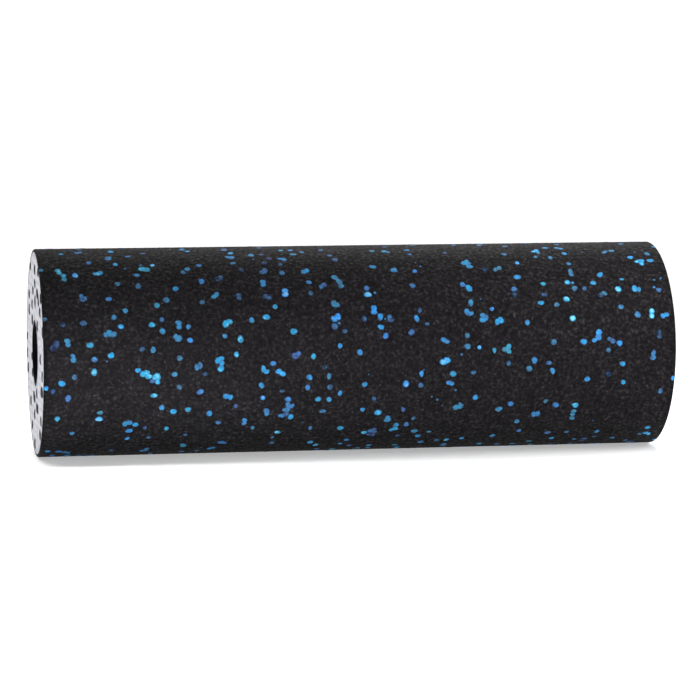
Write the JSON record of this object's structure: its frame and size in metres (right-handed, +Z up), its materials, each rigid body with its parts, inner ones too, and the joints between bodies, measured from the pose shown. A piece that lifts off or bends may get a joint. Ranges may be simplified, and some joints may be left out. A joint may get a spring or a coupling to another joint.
{
  "type": "foam roller",
  "caption": "Straight hollow foam roller for floor massage and stretching: rigid pipe, pale bead foam body and thin dark speckled skin, open bore from end to end.",
  "frame": {"origin": "on the ground, under the middle of the roller as it lies on its side", "axes": "+X along the roller's axis, +Z up, +Y across it"},
  "size_m": [0.457, 0.15, 0.1498],
  "materials": {
    "dark_skin": "matte",
    "blue_bead": "matte",
    "pale_foam": "matte",
    "dark_bead": "matte",
    "pipe_plastic": "satin"
  },
  "bodies": {
    "root": {"core_pipe": "pipe_plastic", "foam_body": "pale_foam", "speckled_skin": "dark_skin"}
  },
  "joints": []
}
